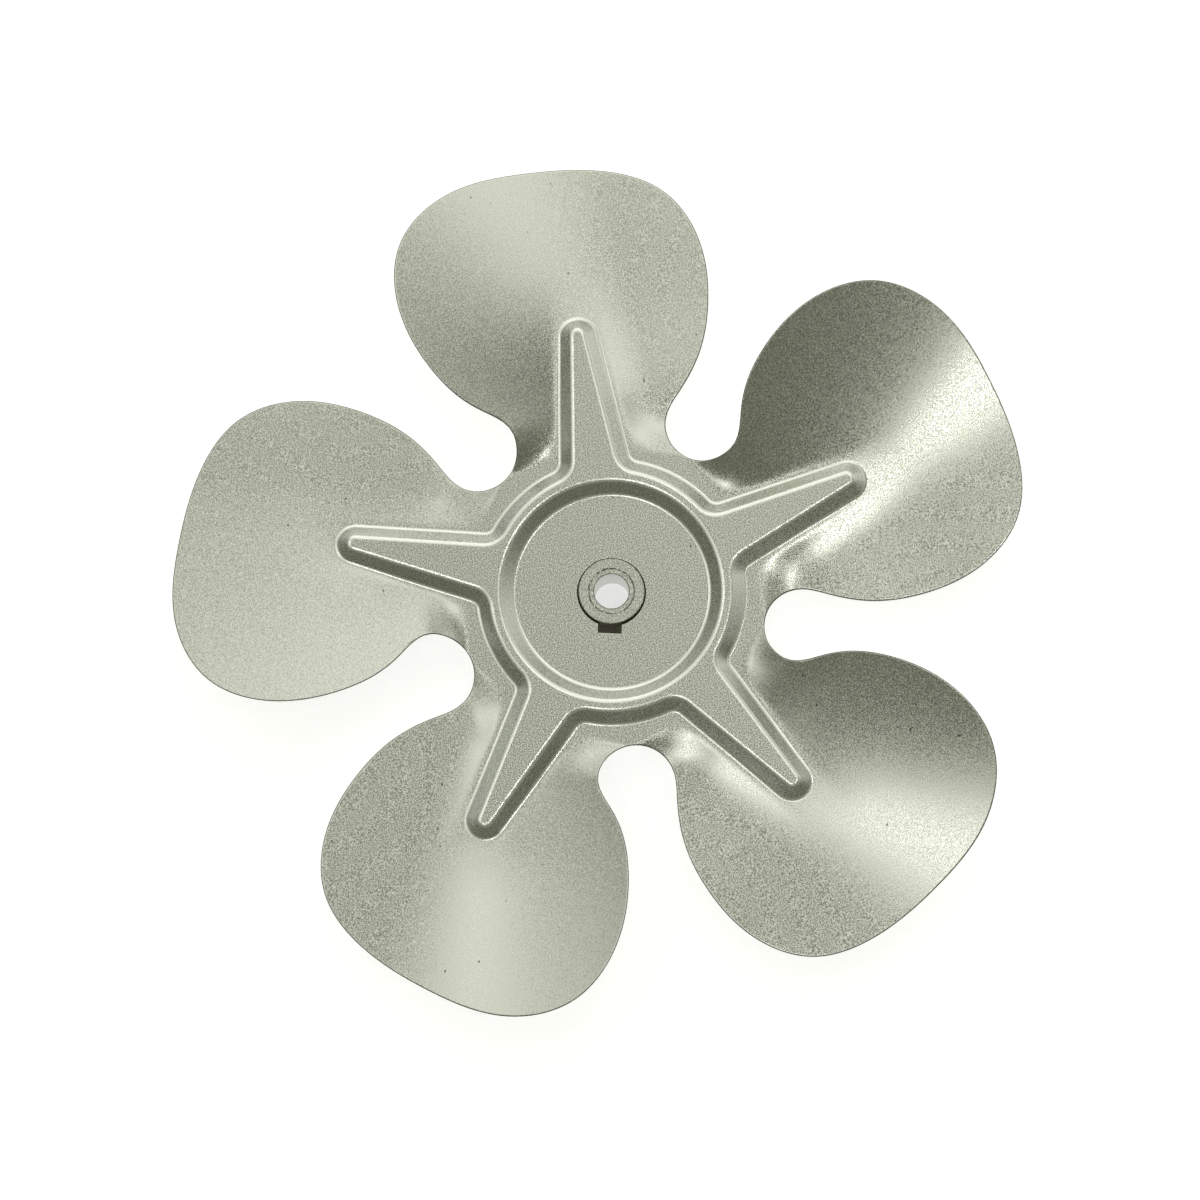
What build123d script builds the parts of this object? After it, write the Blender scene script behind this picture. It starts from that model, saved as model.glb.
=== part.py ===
"""Axial fan impeller: one pressed aluminium blade sheet, riveted to a turned hub with a grub screw.

The origin is on the shaft axis at the hub's rear face, +Z points out of the fan's front.
The first arm of the stiffening star lies along +X. Lengths are in millimetres, angles in degrees.
"""
from build123d import *
import os
from math import asin, atan, atan2, cos, degrees, hypot, radians, sin

os.makedirs("parts", exist_ok=True)

# Blade sheet: outline
blade_count = 5
sheet = 1.0                      # thickness of the aluminium
tip_radius = 100.0               # half of the nominal diameter
low_side = 31.3                  # reach of a blade on its lowered side, from the arm's centre line
high_side = 40.2                 # reach of a blade on its raised side
notch_radius = 8.9               # round notch between two blades
notch_centre = 44.6              # its distance from the shaft axis
notch_end_angle = 75.0           # where the round notch runs out into the blade's edge

# Blade sheet: form of the blades
low_slope = 0.034                # rise per length in front of the first bend line
high_slope = 0.54                # rise per length past the last bend line
fan_apex_radius = 34.5           # point where the bend lines meet, beside the notch
fan_apex_angle = -28.8
fan_start_angle = 4.0            # direction of the first and the last bend line
fan_end_angle = 80.0
root_start_radius = 31.5         # the flat web bends away between these two radii
root_end_radius = 44.0
arm_bend_width = 2.8             # the sheet turns up beside an arm's foot over this width
arm_fade_start = 44.0            # along an arm the flat strip under it fades out between these radii
arm_fade_end = 76.0

# Blade sheet: sections that the blades are lofted through
section_count = 11               # round the shaft, from notch to notch
section_spacing = 8.6            # mean distance of the points along each section
section_crowding = 1.3           # brings the points closer together near the web
section_margin = 3.0             # past the blade's tip
section_overlap_angle = 2.0      # past the middle of the notch

# Blade sheet: pressed star and disc
star_height = 2.5
wall_run = 2.85                  # horizontal width of the sloping walls
ring_outer = 27.7                # plateau of the ring
ring_inner = 25.4
arm_tip_radius = 61.2            # plateau of an arm
arm_tip_round = 1.5
arm_root_half = 5.3
corner_round = 5.6               # between an arm and the ring, on the plateau
edge_round = 0.6                 # along the plateau's edges

# Hub
bore_radius = 4.0                # 8 mm motor shaft
nose_radius = 7.65               # riveted through the sheet
nose_fit = 0.05
nose_proud = 0.8
face_recess_radius = 5.2
face_recess_depth = 0.4
flange_radius = 11.5
flange_thickness = 2.0
barrel_radius = 9.0
barrel_length = 12.0
nose_chamfer = 0.3
edge_chamfer = 0.5

# Locating notch in the sheet, beside the nose
key_angle = 170.0
key_width = 5.4
key_reach = 9.6

# Grub screw across the barrel
screw_radius = 2.5
screw_length = 5.0
screw_height = 6.0
screw_gap = 0.1                  # left between the screw's point and the shaft
thread_fit = 0.05
socket_across = 2.5
socket_depth = 2.2
point_depth = 0.6

# Heights that follow
web_back = barrel_length + flange_thickness
web_front = web_back + sheet
hub_front = web_front + nose_proud

# Pressed walls
wall_angle = degrees(atan(wall_run / star_height))
wall_inset = sheet * (hypot(wall_run, star_height) - wall_run) / star_height
arm_tip_centre = arm_tip_radius - arm_tip_round
arm_flare = asin((arm_root_half - arm_tip_round) / (arm_tip_centre - ring_outer))
foot_tip = arm_tip_radius + wall_run
web_inner = ring_outer + wall_run / 8      # under the ring's sloping wall

# Plane across the barrel, facing out along the grub screw
screw_outward = Vector(1, 0, 0).rotate(Axis.Z, key_angle)
screw_plane = Plane(origin=(0, 0, screw_height), x_dir=(0, 0, 1), z_dir=screw_outward)

# Apex of the bend lines
apex_x = fan_apex_radius * cos(radians(fan_apex_angle))
apex_y = fan_apex_radius * sin(radians(fan_apex_angle))
half_pitch = 180.0 / blade_count


def ease(share):
    """Go smoothly from 0 to 1 while share goes from 0 to 1."""
    share = min(max(share, 0.0), 1.0)
    return share * share * (3 - 2 * share)


def arm_foot(x):
    """Half width of an arm at its foot, at a distance x along it."""
    return (arm_tip_round + (arm_tip_centre - x) * sin(arm_flare) + wall_run) / cos(arm_flare)


def slope(x, y):
    """Rise of a blade per length in y: it grows over the fan of bend lines, with none on the arm."""
    bearing = degrees(atan2(y - apex_y, x - apex_x))
    bent = min(max((bearing - fan_start_angle) / (fan_end_angle - fan_start_angle), 0.0), 1.0)
    flat = 1 - ease((abs(y) - arm_foot(min(x, foot_tip))) / arm_bend_width)
    flat *= 1 - ease((x - arm_fade_start) / (arm_fade_end - arm_fade_start))
    return (low_slope + (high_slope - low_slope) * bent) * (1 - flat)


def root_radius(angle):
    """Radius up to which the web is flat: it reaches the bottom of the notches."""
    return root_start_radius + (notch_centre - notch_radius - root_start_radius) * (angle / half_pitch) ** 2


def rise(radius, angle, steps=24):
    """Height of a blade's surface above the web: the slope added up from the arm's centre line."""
    x = radius * cos(radians(angle))
    y = radius * sin(radians(angle))
    total = sum(slope(x, y * (step + 0.5) / steps) for step in range(steps)) / steps
    start = root_radius(angle)
    return total * y * ease((radius - start) / (root_end_radius - start))


def notch_bottom(side):
    """Point of a notch that is nearest to the shaft; side is -1 at the lowered and 1 at the raised side."""
    return Vector(notch_centre - notch_radius, 0).rotate(Axis.Z, side * half_pitch)


def notch_end(side):
    """Point where a notch runs out into the blade's edge."""
    centre = Vector(notch_centre, 0).rotate(Axis.Z, side * half_pitch)
    return centre + Vector(notch_radius, 0).rotate(Axis.Z, -side * notch_end_angle)


def run_out(side):
    """Direction of the outline there, going round the blade from its lowered to its raised side."""
    return Vector(-side * sin(radians(notch_end_angle)), -cos(radians(notch_end_angle)))


def edge_point(along, across, side):
    """Point of a blade's edge from its share of the blade's length and of its reach on one side."""
    start = notch_end(1).X
    return start + along * (tip_radius - start), across * side


def section(angle):
    """Front line of the sheet from its flat web out past the tip at one angle, as radius and height."""
    start = root_radius(angle)
    reach = tip_radius + section_margin - start
    steps = round((tip_radius - root_start_radius) / section_spacing)
    shares = [(index / steps) ** section_crowding for index in range(steps + 1)]
    return [(start + reach * share, web_front + rise(start + reach * share, angle)) for share in shares]


def arm_side(side):
    """Root and tip ends of one straight side of an arm's plateau."""
    across = Vector(sin(arm_flare), side * cos(arm_flare))
    root_half = arm_tip_round + (arm_tip_centre - ring_inner) * sin(arm_flare)
    return Vector(ring_inner, 0) + across * root_half, Vector(arm_tip_centre, 0) + across * arm_tip_round


# One blade with its share of the web: radial sections round the shaft, trimmed to the outline
low_shares = [(0.104, 0.70), (0.242, 0.882), (0.435, 0.994),
              (0.669, 0.984), (0.87, 0.767), (0.971, 0.358)]
high_shares = [(0.995, 0.179), (0.943, 0.632), (0.771, 0.933),
               (0.511, 0.993), (0.27, 0.858), (0.104, 0.622)]
low_edge = [edge_point(along, across, -low_side) for along, across in low_shares]
high_edge = [edge_point(along, across, high_side) for along, across in high_shares]

with BuildPart() as blade:
    for index in range(section_count):
        angle = (half_pitch + section_overlap_angle) * (2 * index / (section_count - 1) - 1)
        outward = Vector(1, 0, 0).rotate(Axis.Z, angle)
        front = section(angle)
        back = [(radius, height - sheet) for radius, height in reversed(front)]
        tip_run = Vector(front[-1]) - Vector(front[-2])
        with BuildSketch(Plane(origin=(0, 0, 0), x_dir=outward, z_dir=outward.rotate(Axis.Z, -90))):
            with BuildLine():
                Line((web_inner, web_front), front[0])
                Spline(front, tangents=[(1, 0), tip_run])
                Line(front[-1], back[0])
                Spline(back, tangents=[-tip_run, (-1, 0)])
                Polyline(back[-1], (web_inner, web_back), (web_inner, web_front))
            make_face()
    loft()
    with BuildSketch():
        with BuildLine():
            RadiusArc(notch_bottom(-1), notch_end(-1), notch_radius)
            Spline([notch_end(-1), *low_edge, *high_edge, notch_end(1)], tangents=[run_out(-1), run_out(1)])
            RadiusArc(notch_end(1), notch_bottom(1), notch_radius)
            Polyline(notch_bottom(1), (0, 0), notch_bottom(-1))
        make_face()
    extrude(amount=web_front + tip_radius, mode=Mode.INTERSECT)

# The star: tapered arms on a ring round the sunken disc, pressed out of the web
with BuildSketch() as arm_outline:
    with BuildLine():
        Line(*arm_side(1))
        ThreePointArc(arm_side(1)[1], (arm_tip_radius, 0), arm_side(-1)[1])
        Line(*reversed(arm_side(-1)))
        Line(arm_side(-1)[0], arm_side(1)[0])
    make_face()

with BuildSketch() as star_outline:
    Circle(ring_outer)
    with PolarLocations(0, blade_count):
        add(arm_outline.sketch)
    corners = star_outline.vertices().group_by(SortBy.DISTANCE)[0]
    fillet(corners, corner_round)
    Circle(ring_inner, mode=Mode.SUBTRACT)

with BuildPart() as star:
    with BuildSketch(Plane.XY.offset(web_front + star_height)):
        add(star_outline.sketch)
    extrude(amount=-(star_height + sheet / 2), taper=-wall_angle)
    plateau_edges = star.faces().sort_by(Axis.Z)[-1].edges()
    fillet(plateau_edges, edge_round)

with BuildPart() as hollow:
    with BuildSketch(Plane.XY.offset(web_back + star_height)):
        add(star_outline.sketch)
        offset(amount=-wall_inset, kind=Kind.ARC)
    extrude(amount=-(star_height + sheet), taper=-wall_angle)

with BuildPart() as blade_sheet:
    with PolarLocations(0, blade_count):
        add(blade.part)
    add(star.part)
    with BuildSketch(Plane.XY.offset(web_back)):
        Circle(ring_inner - wall_run / 2)
    extrude(amount=sheet)
    add(hollow.part, mode=Mode.SUBTRACT)
    with BuildSketch(Plane.XY.offset(web_back)):
        Circle(nose_radius + nose_fit)
        with PolarLocations(0, 1, start_angle=key_angle):
            Rectangle(key_reach, key_width, align=(Align.MIN, Align.CENTER))
    extrude(amount=sheet, mode=Mode.SUBTRACT)
blade_sheet.part.label = "blade_sheet"
export_step(blade_sheet.part, "parts/blade_sheet.step")

# Hub: barrel and flange behind the sheet, nose through it, turned in one piece
with BuildPart() as hub:
    with BuildSketch(Plane.XZ):
        with BuildLine():
            Polyline((bore_radius, 0), (barrel_radius - edge_chamfer, 0), (barrel_radius, edge_chamfer),
                     (barrel_radius, barrel_length), (flange_radius - edge_chamfer, barrel_length),
                     (flange_radius, barrel_length + edge_chamfer), (flange_radius, web_back),
                     (nose_radius, web_back), (nose_radius, hub_front - nose_chamfer),
                     (nose_radius - nose_chamfer, hub_front), (face_recess_radius, hub_front),
                     (face_recess_radius, hub_front - face_recess_depth),
                     (bore_radius, hub_front - face_recess_depth), (bore_radius, 0))
        make_face()
    revolve(axis=Axis.Z)
    with BuildSketch(screw_plane):
        Circle(screw_radius + thread_fit)
    extrude(amount=flange_radius, mode=Mode.SUBTRACT)
hub.part.label = "hub"
export_step(hub.part, "parts/hub.step")

# Grub screw: hexagon socket in its outer end, a blunt cone at the shaft
with BuildPart() as grub_screw:
    with BuildSketch(screw_plane.offset(bore_radius + screw_gap)):
        Circle(screw_radius)
    extrude(amount=screw_length)
    chamfer(grub_screw.edges().sort_by(Axis((0, 0, 0), screw_outward))[0], point_depth)
    with BuildSketch(screw_plane.offset(bore_radius + screw_gap + screw_length)):
        RegularPolygon(socket_across / 2, 6, major_radius=False)
    extrude(amount=-socket_depth, mode=Mode.SUBTRACT)
grub_screw.part.label = "grub_screw"
export_step(grub_screw.part, "parts/grub_screw.step")
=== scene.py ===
"""Looks of the axial fan impeller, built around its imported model.

The blade sheet is worked out in millimetres from the same sizes as the solid model, then scaled to metres.
The shaft axis is Z, the fan's front is +Z and the first arm of the star lies along +X.
"""
from math import asin, cos, hypot, pi, radians, sin, tan

import bpy
import numpy as np
from mathutils import Matrix, Vector


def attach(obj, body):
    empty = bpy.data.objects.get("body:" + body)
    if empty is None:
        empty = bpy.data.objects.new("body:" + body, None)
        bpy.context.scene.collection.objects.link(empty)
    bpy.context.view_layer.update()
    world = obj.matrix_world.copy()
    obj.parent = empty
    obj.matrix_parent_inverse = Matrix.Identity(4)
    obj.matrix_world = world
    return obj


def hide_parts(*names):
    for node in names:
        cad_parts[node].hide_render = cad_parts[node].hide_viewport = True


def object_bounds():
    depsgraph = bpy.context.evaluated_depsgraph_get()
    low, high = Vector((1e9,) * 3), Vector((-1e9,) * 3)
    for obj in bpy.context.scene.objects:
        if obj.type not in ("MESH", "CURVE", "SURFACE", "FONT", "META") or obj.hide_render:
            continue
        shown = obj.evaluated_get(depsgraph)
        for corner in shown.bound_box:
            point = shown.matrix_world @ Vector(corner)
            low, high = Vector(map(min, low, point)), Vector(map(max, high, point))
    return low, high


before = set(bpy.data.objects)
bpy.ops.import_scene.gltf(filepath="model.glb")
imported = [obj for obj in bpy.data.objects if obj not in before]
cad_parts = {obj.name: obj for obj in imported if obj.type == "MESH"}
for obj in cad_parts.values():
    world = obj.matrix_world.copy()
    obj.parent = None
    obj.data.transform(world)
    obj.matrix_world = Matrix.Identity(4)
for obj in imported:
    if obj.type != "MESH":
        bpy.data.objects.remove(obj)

cad_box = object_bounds()
MM = 0.001

# Blade sheet: outline
blade_count = 5
sheet = 1.0
tip_radius = 100.0
low_side = 31.3
high_side = 40.2
notch_radius = 8.9
notch_centre = 44.6
notch_end_angle = radians(75.0)
half_pitch = pi / blade_count

# Points of a blade's edge on either side, as shares of its length and of its reach there
low_shares = [(0.104, 0.70), (0.242, 0.882), (0.435, 0.994),
              (0.669, 0.984), (0.87, 0.767), (0.971, 0.358)]
high_shares = [(0.995, 0.179), (0.943, 0.632), (0.771, 0.933),
               (0.511, 0.993), (0.27, 0.858), (0.104, 0.622)]

# Blade sheet: form of the blades
low_slope = 0.034
high_slope = 0.54
fan_apex_radius = 34.5
fan_apex_angle = radians(-28.8)
fan_start_angle = radians(4.0)
fan_end_angle = radians(80.0)
root_start_radius = 31.5
root_end_radius = 44.0
arm_bend_width = 2.8
arm_fade_start = 44.0
arm_fade_end = 76.0

# Pressed star and disc
star_height = 2.5
wall_run = 2.85
ring_outer = 27.7
ring_inner = 25.4
arm_tip_radius = 61.2
arm_tip_round = 1.5
arm_root_half = 5.3
corner_round = 5.6

# Heights, and the hole for the hub
web_back = 14.0
web_front = web_back + sheet
hole_radius = 7.7
key_angle = radians(170.0)
key_width = 5.4
key_reach = 9.6

# Hub: radii of the edges on its nose
bore_radius = 4.0
recess_radius = 5.2
nose_radius = 7.65

# Bends of the pressed walls, and rounding of the cut edges
plateau_bend = 1.9
foot_bend = 1.5
cut_round = 0.28
hole_round = 0.1
hold = 0.18                      # strip that keeps the flat beside a bend flat
cut_painted_light = (0.5, -1, -1, -0.6)    # painted light of the rows round one edge of the cut, from the face inwards: a painted highlight, then painted shade

# Grid: steps along half a star outline, and rows out from the hub's hole
tip_steps = 20
side_steps = 32
corner_steps = 14
ring_steps = 12
bend_steps = 5
back_bend_steps = 4
disc_rows = 3
back_disc_rows = 2
blade_rows = 26
back_blade_rows = 14
row_crowding = 1.6
slope_steps = 32                 # of the sum that gives a blade's height
curve_steps = 4000               # of the length measured along a blade's edge

# Grain of the sheet and the hub: scales are in patches per metre
grain_scale = 3600
grain_low = 0.35
grain_high = 0.65
grain_smooth = 0.17              # roughness of its dark and of its pale grains
grain_rough = 0.36
grain_relief = 0.000006          # in metres
grain_colours = [(0.30, (0.43, 0.45, 0.40)), (0.70, (0.73, 0.755, 0.68))]

# Marks on the sheet: specks, painted highlights, painted shade and a painted shadow crescent, whose sizes
# are in millimetres
speck_scale = 900
speck_low = 0.86
speck_high = 0.90
speck_colour = (0.16, 0.16, 0.14)
painted_highlight_from = 0.1                # painted light at which the painted highlight on a bend begins to show, and shows in full
painted_highlight_full = 0.9
painted_highlight_colour = (0.92, 0.93, 0.88)
painted_shade_from = -0.2                 # the same for the painted shade on the cut edge
painted_shade_full = -1.0
painted_shade_colour = (0.07, 0.07, 0.055)
# painted shadow in the gap beside the hub's nose: a dark crescent, shifted toward the notch
crescent_radius = 7.85
crescent_shift = 0.13
crescent_fade = 0.12
crescent_shadow_colour = (0.02, 0.02, 0.016)

# Painted shade on the hub: dark rings and the dark flange face, in millimetres
bore_ring = 0.25                 # half widths of the rings
recess_ring = 0.26
nose_ring = 0.24
ring_share = 0.85                # how far the rings go over to their colour
ring_shade_colour = (0.05, 0.05, 0.04)
dot_scale = 1300                 # breaks the recess's ring up into dots
dot_low = 0.40
dot_high = 0.52
front_low = 0.1                  # above the sheet's front, where the rings begin
front_high = 0.3
flange_near = 0.02               # from the flange's face
flange_far = 0.05
flange_edge = 0.03
flange_shade_colour = (0.06, 0.06, 0.045)

# Blackened steel of the grub screw
steel_scale = 2500
steel_detail = 2.0
steel_roughness = 0.42
steel_colours = [(0.3, (0.035, 0.035, 0.04)), (0.7, (0.06, 0.06, 0.065))]

# Floor, in metres
floor_size = 6.0
floor_gap = 0.0002
floor_grey = 0.8
floor_glow = 0.64

# Light tent: its walls, and patches as degrees right of the view, degrees above it, width and strength
tent_level = 0.2
tent_colour = (1, 1, 0.8)
patch_colour = (1, 0.985, 0.95)
tent_patches = [
    (-18, 67, 39, 1.0),
    (-1, 17, 4, 0.2),
    (-8, -4.5, 7, 3.3),
    (12, 6, 3, 11.5),
    (14, 30, 11, 1.2),
    (91, 22, 28, 0.8),
    (-24, 18, 6.5, 1.4),
    (-38, 9, 15, 0.65),
]

# View of the photograph: the camera looks a little up at the fan's front, whose first arm points up
picture_width = 1200
picture_scale = 0.2288           # millimetres per pixel at the web
camera_distance = 4000 * picture_scale     # as far as 4000 pixels
camera_below = radians(8.0)
camera_aside = radians(0.83)
first_arm = radians(97.4)        # direction of the first arm in the picture
hub_across = 611.5               # where the shaft axis meets the web, in pixels
hub_down = 591.5
sensor_width = 36                # millimetres

# Sizes that follow
arm_tip_centre = arm_tip_radius - arm_tip_round
arm_flare = asin((arm_root_half - arm_tip_round) / (arm_tip_centre - ring_outer))
foot_tip = arm_tip_radius + wall_run
wall_length = hypot(wall_run, star_height)
wall_tilt = asin(star_height / wall_length)
wall_inset = sheet * (wall_length - wall_run) / star_height

# Rows of this matrix are the camera's right, up and back in the model's frame
turn = Matrix.Rotation(first_arm, 3, "Z")
camera_axes = Matrix.Rotation(-camera_below, 3, "X") @ Matrix.Rotation(-camera_aside, 3, "Y") @ turn


# Shape of the sheet
def direction(angle):
    """Unit vectors at an array of angles."""
    return np.stack([np.cos(angle), np.sin(angle)], axis=-1)


def turned(points, angle):
    """Points turned about the shaft axis."""
    return points @ np.array([[cos(angle), sin(angle)], [-sin(angle), cos(angle)]])


def ease(share):
    """Smooth step from 0 to 1: three times the share's square less twice its cube."""
    share = np.clip(share, 0.0, 1.0)
    return share * share * (3 - 2 * share)


def arm_foot(x):
    """Half width of an arm at its foot, which grows with the distance from the arm's tip."""
    return (arm_tip_round + (arm_tip_centre - x) * sin(arm_flare) + wall_run) / cos(arm_flare)


def slope(x, y):
    """Rise of a blade per length in y: it grows evenly with the bearing from the apex of the bend lines,
    and falls to none on the flat strip along the arm, which fades out past the arm's tip."""
    apex_x = fan_apex_radius * cos(fan_apex_angle)
    apex_y = fan_apex_radius * sin(fan_apex_angle)
    bearing = np.arctan2(y - apex_y, x - apex_x)
    bent = np.clip((bearing - fan_start_angle) / (fan_end_angle - fan_start_angle), 0.0, 1.0)
    flat = 1 - ease((np.abs(y) - arm_foot(np.minimum(x, foot_tip))) / arm_bend_width)
    flat = flat * (1 - ease((x - arm_fade_start) / (arm_fade_end - arm_fade_start)))
    return (low_slope + (high_slope - low_slope) * bent) * (1 - flat)


def rise(points):
    """Height of a blade above the web: the mean slope between the arm's centre line and the point, times
    y, eased in from the flat web's radius."""
    x, y = points[..., 0], points[..., 1]
    shares = (np.arange(slope_steps) + 0.5) / slope_steps
    total = slope(x[..., None], y[..., None] * shares).mean(axis=-1)
    notch_bottom = notch_centre - notch_radius
    start = root_start_radius + (notch_bottom - root_start_radius) * (np.arctan2(y, x) / half_pitch) ** 2
    return total * y * ease((np.hypot(x, y) - start) / (root_end_radius - start))


def star_half():
    """Half of one arm's plateau outline, from its tip to the middle of the valley, and its outward
    normals: the tip's arc, the straight side, the hollow corner and the ring's arc."""
    tip = np.array([arm_tip_centre, 0.0])
    side_angle = pi / 2 - arm_flare
    across = direction(side_angle)
    inward = np.array([-cos(arm_flare), sin(arm_flare)])
    offset_tip = tip + across * (arm_tip_round + corner_round)
    middle = -offset_tip @ inward
    corner_reach = ring_outer + corner_round
    side_length = middle - np.sqrt(middle ** 2 - offset_tip @ offset_tip + corner_reach ** 2)
    corner = offset_tip + inward * side_length
    corner_angle = np.arctan2(corner[1], corner[0])
    tip_angles = np.linspace(0, side_angle, tip_steps + 1)
    corner_angles = np.linspace(side_angle, corner_angle, corner_steps + 1)[1:]
    ring_angles = np.linspace(corner_angle, half_pitch, ring_steps + 1)[1:]
    side_shares = np.linspace(0, 1, side_steps + 1)[1:, None]
    points = np.concatenate([
        tip + arm_tip_round * direction(tip_angles),
        tip + arm_tip_round * across + side_length * side_shares * inward,
        corner - corner_round * direction(corner_angles),
        ring_outer * direction(ring_angles),
    ])
    side_angles = np.full(side_steps, side_angle)
    normals = direction(np.concatenate([tip_angles, side_angles, corner_angles, ring_angles]))
    return points, normals


def spline_through(points, first_run, last_run, count):
    """Evenly spaced points on the cubic curve through some points, smooth in its second derivative,
    with given directions at its ends. Its parameter is the length of the chords."""
    chords = np.hypot(*np.diff(points, axis=0).T)
    knots = np.concatenate([[0], np.cumsum(chords)])
    rates = np.diff(points, axis=0) / chords[:, None]
    inner = np.arange(1, len(points) - 1)
    matrix = np.eye(len(points))
    matrix[inner, inner - 1] = chords[1:]
    matrix[inner, inner] = 2 * (chords[1:] + chords[:-1])
    matrix[inner, inner + 1] = chords[:-1]
    values = np.zeros_like(points)
    values[0] = first_run
    values[-1] = last_run
    values[inner] = 3 * (chords[1:, None] * rates[:-1] + chords[:-1, None] * rates[1:])
    runs = np.linalg.solve(matrix, values)

    def curve(place):
        """Cubic piece at an array of parameters, from its two end points and end directions."""
        piece = np.clip(np.searchsorted(knots, place, side="right") - 1, 0, len(chords) - 1)
        length = chords[piece][:, None]
        share = (place - knots[piece])[:, None] / length
        rest = 1 - share
        near = points[piece] * (1 + 2 * share) * rest ** 2 + runs[piece] * length * share * rest ** 2
        far = points[piece + 1] * (1 + 2 * rest) * share ** 2 - runs[piece + 1] * length * rest * share ** 2
        return near + far

    fine = np.linspace(0, knots[-1], curve_steps + 1)
    travelled = np.concatenate([[0], np.cumsum(np.hypot(*np.diff(curve(fine), axis=0).T))])
    return curve(np.interp(np.linspace(0, travelled[-1], count), travelled, fine))


def blade_outline():
    """Outline of one blade, from the middle of the notch on its lowered side to the middle of the other:
    an arc of each notch, and a spline from one to the other round the blade's tip."""
    arc_angles = np.linspace(-notch_end_angle, half_pitch - pi, corner_steps + ring_steps + 1)
    high_arc = notch_centre * direction(np.array(half_pitch)) + notch_radius * direction(arc_angles)
    low_arc = high_arc[::-1] * [1, -1]
    start = high_arc[0, 0]
    reach = tip_radius - start
    low_edge = [(start + along * reach, -across * low_side) for along, across in low_shares]
    high_edge = [(start + along * reach, across * high_side) for along, across in high_shares]
    edge = spline_through(
        np.array([low_arc[-1], *low_edge, *high_edge, high_arc[0]]),
        (sin(notch_end_angle), -cos(notch_end_angle)),
        (-sin(notch_end_angle), -cos(notch_end_angle)),
        2 * (tip_steps + side_steps) + 1,
    )
    return np.concatenate([low_arc[:-1], edge, high_arc[1:]])


def all_round(points, height):
    """One blade's points and heights, repeated round the shaft as one closed row."""
    turns = [turned(points, 2 * half_pitch * index) for index in range(blade_count)]
    heights = np.tile(np.broadcast_to(height, len(points)), blade_count)
    return np.column_stack([np.concatenate(turns), heights])


def wall_profile(top_bend, low_bend, steps):
    """Run out from a plateau's edge, drop below it and painted light, down a pressed wall: an arc over the
    plateau's edge, the straight slope and an arc at the foot, with a strip of the flat at both ends. The
    painted light, a painted highlight along the bends, is 1 in the middle of an arc and 0 at its ends."""
    angles = np.linspace(0, wall_tilt, steps + 1)
    top_reach = top_bend * tan(wall_tilt / 2)
    low_reach = low_bend * tan(wall_tilt / 2)
    out = np.concatenate([
        [-top_reach - hold],
        top_bend * np.sin(angles) - top_reach,
        wall_run + low_reach - low_bend * np.sin(angles[::-1]),
        [wall_run + low_reach + hold],
    ])
    drop = np.concatenate([
        [0.0],
        top_bend * (1 - np.cos(angles)),
        star_height - low_bend * (1 - np.cos(angles[::-1])),
        [star_height],
    ])
    arc = np.sin(np.linspace(0, pi, steps + 1))
    # painted highlight along the bends: strongest in the middle of each arc
    painted_light = np.concatenate([[0.0], arc, arc, [0.0]])
    return out, drop, painted_light


def hole_rim(angles):
    """Radius of the hub's hole: a circle with a rectangular notch, whose end lies at its reach over the
    cosine and whose sides lie at half its width over the sine."""
    least = 0.01                 # keeps the divisors above zero
    off = (angles - key_angle + pi) % (2 * pi) - pi
    end = key_reach / np.maximum(np.cos(off), least)
    side = key_width / 2 / np.maximum(np.abs(np.sin(off)), least)
    return np.where(np.cos(off) > 0, np.maximum(hole_radius, np.minimum(end, side)), hole_radius)


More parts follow.
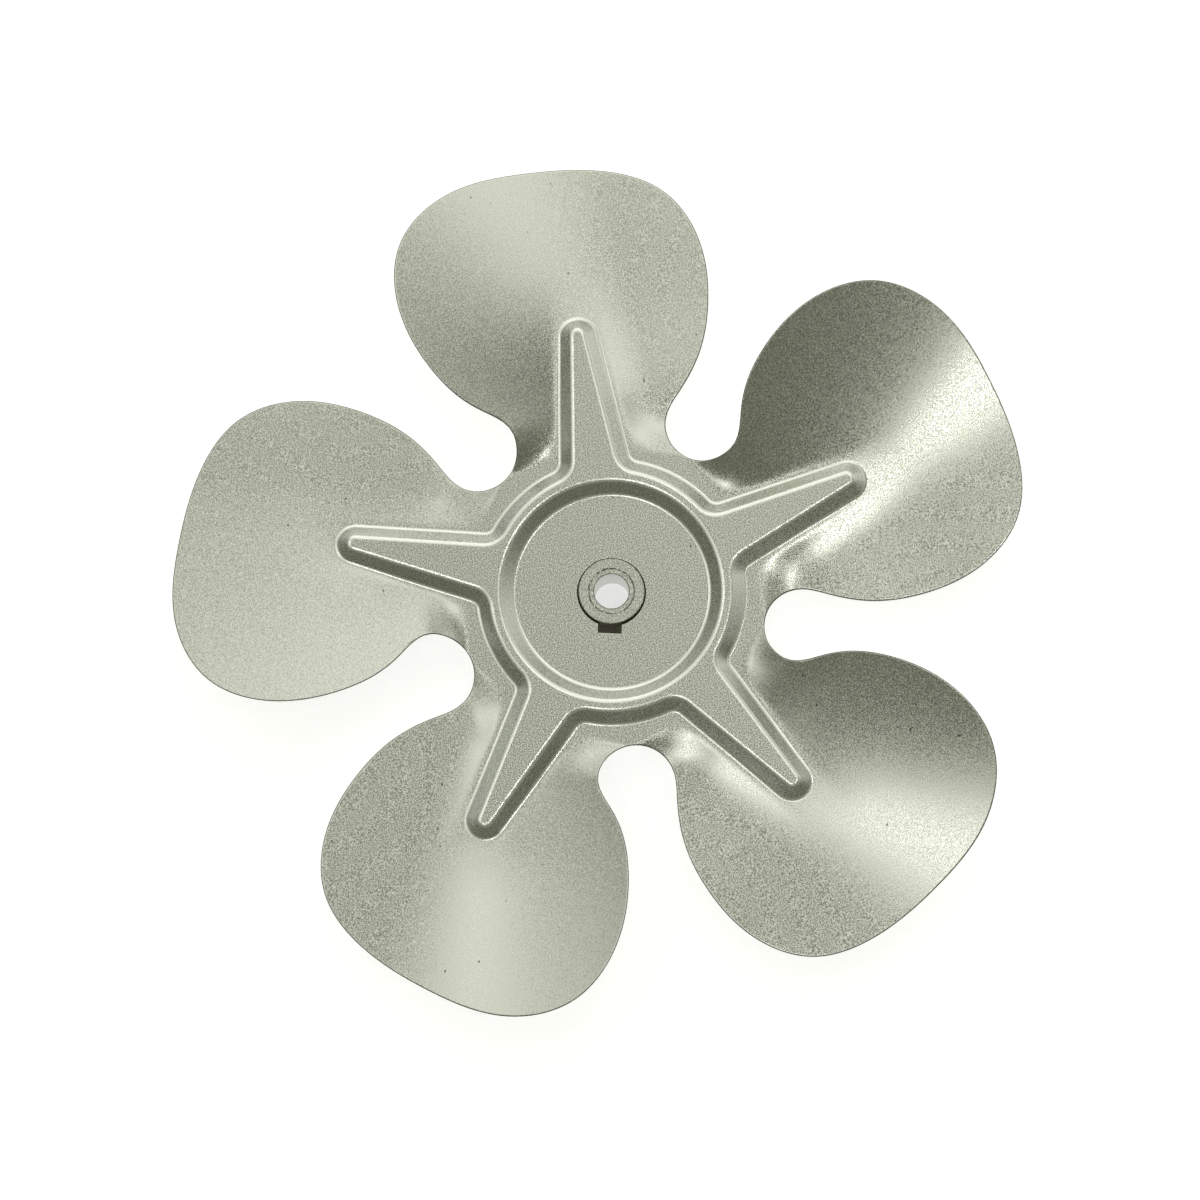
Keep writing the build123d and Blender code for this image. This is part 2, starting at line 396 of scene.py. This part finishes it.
def sheet_rows():
    """Closed rows of points over the whole sheet, and each row's painted light: from the hub's hole over the
    disc, the star and the blades to the cut edge on the front, and back to the hole on the rear. Bends
    get a painted highlight, and the cut edge, whose painted light is mostly below zero, gets painted shade
    beside a thin painted highlight."""
    half, half_normals = star_half()
    star = np.concatenate([half[:0:-1] * [1, -1], half])[:-1]
    star_normals = np.concatenate([half_normals[:0:-1] * [1, -1], half_normals])[:-1]
    outline = blade_outline()[:-1]
    ahead = np.append(outline[1:], turned(outline[:1], 2 * half_pitch), axis=0)
    behind = np.append(turned(outline[-1:], -2 * half_pitch), outline[:-1], axis=0)
    along = ahead - behind
    edge_normals = np.column_stack([along[:, 1], -along[:, 0]]) / np.hypot(*along.T)[:, None]

    inner_star = star - star_normals * (plateau_bend * tan(wall_tilt / 2) + hold)
    angles = np.arctan2(inner_star[:, 1], inner_star[:, 0])
    around = np.concatenate([angles + 2 * half_pitch * index for index in range(blade_count)]) % (2 * pi)
    hole_angles = around.copy()
    for corner in (asin(key_width / 2 / hole_radius), np.arctan2(key_width / 2, key_reach)):
        for side in (-1, 1):
            hole_angles[np.abs(around - key_angle - side * corner).argmin()] = key_angle + side * corner
    rim = hole_rim(hole_angles)

    def rim_row(out, height):
        """Row at a distance outside the hole's rim."""
        return np.column_stack([(rim + out)[:, None] * direction(hole_angles), np.full(len(rim), height)])

    def disc_row(share, outer, height):
        """Row of the disc's flat, at a share of the way from the rim to the wall."""
        inner_points = rim_row(hole_round + hold, height)[:, :2]
        outer_points = outer * direction(around)
        points = inner_points + (outer_points - inner_points) * share
        return np.column_stack([points, np.full(len(rim), height)])

    def edge_row(inset, down):
        """Row near the cut edge, at a distance inside it and below the front."""
        points = outline - edge_normals * inset
        return all_round(points, web_front + rise(points) - down)

    def pressed(base, inset, top_bend, low_bend, steps, count, flat_rows):
        """Rows of one face, from the disc's flat over both walls to near the blade's edge, and their
        painted light, a painted highlight along the bends."""
        out, drop, painted_light = wall_profile(top_bend, low_bend, steps)
        wall_out = out - inset
        disc_edge = ring_inner - out[-1] + inset
        rows = [disc_row(share, disc_edge, base) for share in np.linspace(0, 1, flat_rows + 1)[:-1]]
        for run, low in zip(out[::-1], drop[::-1]):
            ring = (ring_inner - run + inset) * direction(around)
            rows.append(np.column_stack([ring, np.full(len(rim), base + star_height - low)]))
        for run, low in zip(wall_out, drop):
            points = star + star_normals * run
            rows.append(all_round(points, base + star_height - low + rise(points) * low / star_height))
        foot = points
        reach = outline - edge_normals * (cut_round + hold) - foot
        for step in range(1, count + 1):
            points = foot + reach * (step / count) ** row_crowding
            rows.append(all_round(points, base + rise(points)))
        return rows, [0.0] * flat_rows + [*painted_light[::-1], *painted_light] + [0.0] * count

    rows = [
        rim_row(0, web_back + hole_round),
        rim_row(0, web_front - hole_round),
        rim_row(hole_round * (1 - cos(pi / 4)), web_front - hole_round * (1 - sin(pi / 4))),
        rim_row(hole_round, web_front),
    ]
    painted_light = [0.0] * len(rows)
    front, front_painted_light = pressed(web_front, 0, plateau_bend, foot_bend,
                                   bend_steps, blade_rows, disc_rows)
    rows += front
    painted_light += front_painted_light
    roll = np.linspace(0, pi / 2, len(cut_painted_light))
    for angle in roll:
        rows.append(edge_row(cut_round * (1 - sin(angle)), cut_round * (1 - cos(angle))))
    for angle in roll[::-1]:
        rows.append(edge_row(cut_round * (1 - sin(angle)), sheet - cut_round * (1 - cos(angle))))
    # painted highlight at the edge of the face, then painted shade round the cut
    painted_light += [*cut_painted_light, *cut_painted_light[::-1]]
    rear, rear_painted_light = pressed(web_back, wall_inset, plateau_bend - sheet, foot_bend + sheet,
                                 back_bend_steps, back_blade_rows, back_disc_rows)
    rows += rear[::-1]
    painted_light += rear_painted_light[::-1]
    rows.append(rim_row(hole_round, web_back))
    painted_light.append(0.0)
    return np.array(rows), np.array(painted_light)


def mesh_from_rows(name, rows, painted_light):
    """Mesh from closed rows of points: both ways round the grid joins up, and faces turn outwards. Each
    row's painted light, a painted highlight or painted shade, is kept as an attribute of its points."""
    row_count, count = rows.shape[:2]
    row, column = np.meshgrid(np.arange(row_count), np.arange(count), indexing="ij")
    next_row = (row + 1) % row_count
    next_column = (column + 1) % count
    corners = [
        row * count + column,
        next_row * count + column,
        next_row * count + next_column,
        row * count + next_column,
    ]
    faces = np.stack(corners, axis=-1).reshape(-1, 4)
    mesh = bpy.data.meshes.new(name)
    mesh.vertices.add(row_count * count)
    mesh.vertices.foreach_set("co", (rows * MM).ravel())
    mesh.loops.add(faces.size)
    mesh.loops.foreach_set("vertex_index", faces.ravel().astype(np.int32))
    mesh.polygons.add(len(faces))
    mesh.polygons.foreach_set("loop_start", np.arange(0, faces.size, 4, dtype=np.int32))
    mesh.polygons.foreach_set("use_smooth", np.ones(len(faces), dtype=bool))
    mesh.update(calc_edges=True)
    mesh.validate()
    kept = mesh.attributes.new("painted_light", "FLOAT", "POINT")
    kept.data.foreach_set("value", np.repeat(painted_light, count).astype(np.float32))
    piece = bpy.data.objects.new(name, mesh)
    bpy.context.scene.collection.objects.link(piece)
    return piece


# Finishes
def new_material(name):
    """A material with its shader, and its nodes and links."""
    material = bpy.data.materials.new(name)
    material.use_nodes = True
    nodes = material.node_tree.nodes
    return material, nodes, material.node_tree.links, nodes["Principled BSDF"]


def noise(nodes, links, place, scale, detail=0.0):
    """Noise over the object's own coordinates; scale is in patches per metre."""
    node = nodes.new("ShaderNodeTexNoise")
    node.inputs["Scale"].default_value = scale
    node.inputs["Detail"].default_value = detail
    links.new(place, node.inputs["Vector"])
    return node.outputs["Fac"]


def ramp(nodes, links, value, stops):
    """Colour ramp over a value; the two stops are places with colours."""
    node = nodes.new("ShaderNodeValToRGB")
    for element, (place, colour) in zip(node.color_ramp.elements, stops):
        element.position = place
        element.color = (*colour, 1)
    links.new(value, node.inputs["Fac"])
    return node.outputs["Color"]


def calculated(nodes, links, operation, *values):
    """Result of one step of arithmetic on values that are numbers or outputs."""
    node = nodes.new("ShaderNodeMath")
    node.operation = operation
    for socket, value in zip(node.inputs, values):
        if isinstance(value, (int, float)):
            socket.default_value = value
        else:
            links.new(value, socket)
    return node.outputs["Value"]


def between(nodes, links, value, low, high):
    """Share from 0 to 1 of a value on its way from low to high, smooth at both ends."""
    node = nodes.new("ShaderNodeMapRange")
    node.interpolation_type = "SMOOTHSTEP"
    node.inputs["From Min"].default_value = low
    node.inputs["From Max"].default_value = high
    links.new(value, node.inputs["Value"])
    return node.outputs["Result"]


def vector_step(nodes, links, operation, vector, other=(0, 0, 0)):
    """Outputs of one step of arithmetic on a vector and a fixed other one."""
    node = nodes.new("ShaderNodeVectorMath")
    node.operation = operation
    node.inputs[1].default_value = other
    links.new(vector, node.inputs[0])
    return node.outputs


def radius_from(nodes, links, place, across, along):
    """Distance from a line along the shaft, whose place is given in millimetres."""
    off = vector_step(nodes, links, "SUBTRACT", place, (across * MM, along * MM, 0))["Vector"]
    flat = vector_step(nodes, links, "MULTIPLY", off, (1, 1, 0))["Vector"]
    return vector_step(nodes, links, "LENGTH", flat)["Value"]


def changed(nodes, links, colour, share, other):
    """The colour, going over to another one with the share."""
    node = nodes.new("ShaderNodeMix")
    node.data_type = "RGBA"
    node.inputs["B"].default_value = (*other, 1)
    links.new(share, node.inputs["Factor"])
    links.new(colour, node.inputs["A"])
    return node.outputs["Result"]


def grained(nodes, links, shader, place):
    """Colour of the fine grain: its pale grains are rougher than its dark ones, so that they stand out
    most where the sheet mirrors a dark place. Sets the shader's roughness and a slight relief too."""
    grain = noise(nodes, links, place, grain_scale)
    rough = nodes.new("ShaderNodeMapRange")
    rough.inputs["From Min"].default_value = grain_low
    rough.inputs["From Max"].default_value = grain_high
    rough.inputs["To Min"].default_value = grain_smooth
    rough.inputs["To Max"].default_value = grain_rough
    links.new(grain, rough.inputs["Value"])
    links.new(rough.outputs["Result"], shader.inputs["Roughness"])
    bump = nodes.new("ShaderNodeBump")
    bump.inputs["Distance"].default_value = grain_relief
    links.new(grain, bump.inputs["Height"])
    links.new(bump.outputs["Normal"], shader.inputs["Normal"])
    shader.inputs["Metallic"].default_value = 1.0
    return ramp(nodes, links, grain, grain_colours)


def pressed_aluminium():
    """Satin aluminium sheet: fine grain, a few tiny specks, a painted highlight along the bends, painted
    shade on the cut edge with a painted highlight beside it, and a painted shadow, a dark crescent beside
    the hub's nose on the side of the notch."""
    material, nodes, links, shader = new_material("pressed_aluminium")
    place = nodes.new("ShaderNodeTexCoord").outputs["Object"]
    colour = grained(nodes, links, shader, place)
    specks = between(nodes, links, noise(nodes, links, place, speck_scale), speck_low, speck_high)
    colour = changed(nodes, links, colour, specks, speck_colour)
    kept = nodes.new("ShaderNodeAttribute")
    kept.attribute_name = "painted_light"
    painted_light = kept.outputs["Fac"]
    # painted highlight along the bends, taken from each row's painted light
    bends = between(nodes, links, painted_light, painted_highlight_from, painted_highlight_full)
    colour = changed(nodes, links, colour, bends, painted_highlight_colour)
    # painted shade on the cut edge
    cut_edge_shade = between(nodes, links, painted_light, painted_shade_from, painted_shade_full)
    colour = changed(nodes, links, colour, cut_edge_shade, painted_shade_colour)
    # painted shadow: a dark crescent beside the hub's nose, toward the notch
    shift = crescent_shift * direction(np.array(key_angle))
    off_middle = radius_from(nodes, links, place, *shift)
    outer_radius = crescent_radius + crescent_fade
    crescent = between(nodes, links, off_middle, outer_radius * MM, crescent_radius * MM)
    colour = changed(nodes, links, colour, crescent, crescent_shadow_colour)
    links.new(colour, shader.inputs["Base Color"])
    return material


def hub_metal():
    """Turned hub metal with the sheet's grain, and painted shade: dark rings on the nose at the bore, the
    recess and the rim, and a dark flange where it shows through the sheet's notch."""
    material, nodes, links, shader = new_material("hub_metal")
    place = nodes.new("ShaderNodeTexCoord").outputs["Object"]
    parts = nodes.new("ShaderNodeSeparateXYZ")
    links.new(place, parts.inputs["Vector"])
    height = parts.outputs["Z"]
    colour = grained(nodes, links, shader, place)
    radius = radius_from(nodes, links, place, 0, 0)

    def distance(value, middle):
        """Distance of a value from a place given in millimetres."""
        return calculated(nodes, links, "ABSOLUTE", calculated(nodes, links, "SUBTRACT", value, middle * MM))

    def ring(middle, half):
        """Share of a thin ring at a radius, full over the middle third of its width."""
        return between(nodes, links, distance(radius, middle), half * MM, half * MM / 3)

    # painted shade: dark rings at the edges of the bore and the recess, and round the nose's rim
    dots = between(nodes, links, noise(nodes, links, place, dot_scale), dot_low, dot_high)
    ring_shade = calculated(nodes, links, "MULTIPLY", ring(recess_radius, recess_ring), dots)
    ring_shade = calculated(nodes, links, "MAXIMUM", ring_shade, ring(bore_radius, bore_ring))
    ring_shade = calculated(nodes, links, "MAXIMUM", ring_shade, ring(nose_radius, nose_ring))
    on_front = between(nodes, links, height, (web_front + front_low) * MM, (web_front + front_high) * MM)
    ring_shade = calculated(nodes, links, "MULTIPLY", ring_shade, on_front)
    ring_shade = calculated(nodes, links, "MULTIPLY", ring_shade, ring_share)
    colour = changed(nodes, links, colour, ring_shade, ring_shade_colour)
    # painted shade on the flange face, where it shows in the sheet's notch
    on_flange = between(nodes, links, distance(height, web_back), flange_far * MM, flange_near * MM)
    outside_nose = between(nodes, links, radius, (nose_radius - flange_edge) * MM, nose_radius * MM)
    flange = calculated(nodes, links, "MULTIPLY", on_flange, outside_nose)
    colour = changed(nodes, links, colour, flange, flange_shade_colour)
    links.new(colour, shader.inputs["Base Color"])
    return material


def screw_steel():
    """Blackened steel of the grub screw."""
    material, nodes, links, shader = new_material("screw_steel")
    place = nodes.new("ShaderNodeTexCoord").outputs["Object"]
    grain = noise(nodes, links, place, steel_scale, steel_detail)
    links.new(ramp(nodes, links, grain, steel_colours), shader.inputs["Base Color"])
    shader.inputs["Roughness"].default_value = steel_roughness
    shader.inputs["Metallic"].default_value = 1.0
    return material


# Floor, camera and light
def white_floor(lowest):
    """Floor under the impeller: white to the camera and to reflections, apart from a soft shadow."""
    bpy.ops.mesh.primitive_plane_add(size=floor_size, location=(0, 0, lowest - floor_gap))
    floor = bpy.context.object
    floor.name = "floor"
    material, nodes, links, shader = new_material("floor_white")
    shader.inputs["Base Color"].default_value = (floor_grey, floor_grey, floor_grey, 1)
    shader.inputs["Roughness"].default_value = 1.0
    shader.inputs["Specular IOR Level"].default_value = 0.0
    glow = nodes.new("ShaderNodeEmission")
    glow.inputs["Strength"].default_value = floor_glow
    added = nodes.new("ShaderNodeAddShader")
    links.new(shader.outputs["BSDF"], added.inputs[0])
    links.new(glow.outputs["Emission"], added.inputs[1])
    paths = nodes.new("ShaderNodeLightPath")
    mixed = nodes.new("ShaderNodeMixShader")
    camera_ray, glossy_ray = paths.outputs["Is Camera Ray"], paths.outputs["Is Glossy Ray"]
    links.new(calculated(nodes, links, "MAXIMUM", camera_ray, glossy_ray), mixed.inputs["Fac"])
    links.new(shader.outputs["BSDF"], mixed.inputs[1])
    links.new(added.outputs["Shader"], mixed.inputs[2])
    links.new(mixed.outputs["Shader"], nodes["Material Output"].inputs["Surface"])
    floor.data.materials.append(material)


def seen_from(across, up, back):
    """Direction given in the camera's axes, in the model's frame."""
    return camera_axes.transposed() @ Vector((across, up, back))


def photo_camera():
    """Camera at the photograph's viewing angle."""
    across = (picture_width / 2 - hub_across) * picture_scale
    up = (hub_down - picture_width / 2) * picture_scale
    data = bpy.data.cameras.new("camera")
    data.sensor_width = sensor_width
    data.lens = sensor_width * camera_distance / (picture_width * picture_scale)
    camera = bpy.data.objects.new("camera", data)
    bpy.context.scene.collection.objects.link(camera)
    place = Vector((0, 0, web_front)) + seen_from(across, up, camera_distance)
    camera.matrix_world = Matrix.Translation(place * MM) @ camera_axes.transposed().to_4x4()
    bpy.context.scene.camera = camera


def light_tent():
    """Light of a studio tent: an even level all round and soft patches. A patch fades with the exponential
    of how far the cosine of its distance is below 1, over the same for its width. The camera sees white."""
    world = bpy.data.worlds.new("light_tent")
    bpy.context.scene.world = world
    world.use_nodes = True
    nodes, links = world.node_tree.nodes, world.node_tree.links
    nodes.clear()
    toward = nodes.new("ShaderNodeTexCoord").outputs["Generated"]

    def background(colour):
        """Background of one colour, with a strength of 1."""
        node = nodes.new("ShaderNodeBackground")
        node.inputs["Color"].default_value = (*colour, 1)
        return node

    level = 0.0
    for aside, above, width, strength in tent_patches:
        aside, above = radians(aside), radians(above)
        middle = seen_from(sin(aside) * cos(above), sin(above), cos(aside) * cos(above))
        cosine = vector_step(nodes, links, "DOT_PRODUCT", toward, middle)["Value"]
        below = calculated(nodes, links, "SUBTRACT", cosine, 1.0)
        share = calculated(nodes, links, "DIVIDE", below, 1 - cos(radians(width)))
        patch = calculated(nodes, links, "EXPONENT", share)
        level = calculated(nodes, links, "MULTIPLY_ADD", patch, strength, level)
    patches = background(patch_colour)
    links.new(level, patches.inputs["Strength"])
    walls = background(tent_colour)
    walls.inputs["Strength"].default_value = tent_level
    tent = nodes.new("ShaderNodeAddShader")
    links.new(patches.outputs["Background"], tent.inputs[0])
    links.new(walls.outputs["Background"], tent.inputs[1])
    white = background((1, 1, 1))
    paths = nodes.new("ShaderNodeLightPath")
    mixed = nodes.new("ShaderNodeMixShader")
    links.new(paths.outputs["Is Camera Ray"], mixed.inputs["Fac"])
    links.new(tent.outputs["Shader"], mixed.inputs[1])
    links.new(white.outputs["Background"], mixed.inputs[2])
    links.new(mixed.outputs["Shader"], nodes.new("ShaderNodeOutputWorld").inputs["Surface"])


# Pieces and their finishes
blade_sheet = mesh_from_rows("blade_sheet_surface", *sheet_rows())
blade_sheet.data.materials.append(pressed_aluminium())
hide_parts("blade_sheet")
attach(blade_sheet, "root")

for node, finish in (("hub", hub_metal()), ("grub_screw", screw_steel())):
    for material_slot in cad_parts[node].material_slots:
        material_slot.material = finish

# Stage
white_floor(cad_box[0].z)
light_tent()
photo_camera()
bpy.context.scene.view_settings.view_transform = "Standard"
